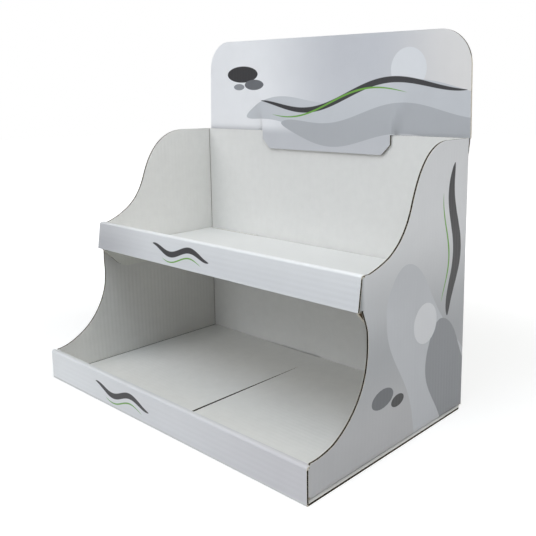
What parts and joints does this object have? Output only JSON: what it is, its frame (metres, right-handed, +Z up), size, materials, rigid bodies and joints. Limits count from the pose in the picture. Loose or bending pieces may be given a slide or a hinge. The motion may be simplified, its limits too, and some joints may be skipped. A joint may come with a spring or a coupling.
{
  "type": "cardboard display stand",
  "caption": "Folded white corrugated-board counter display stand with a tiered shelf, roll-over front lips, swept side walls and a slotted-on header card, for presenting small boxed goods",
  "frame": {"origin": "centre of the stand's box at the level of the base's underside", "axes": "+X to the shopper's right along the lip, +Y to the back wall, +Z up"},
  "size_m": [0.4836, 0.298, 0.471],
  "materials": {
    "white_board": "matt white-lined",
    "tray_board": "matt white-lined",
    "shelf_board": "matt white-lined",
    "header_board": "satin printed"
  },
  "bodies": {
    "root": {"back_and_sides": "white_board", "base_tray": "tray_board", "shelf": "shelf_board", "header_card": "header_board"}
  },
  "joints": []
}
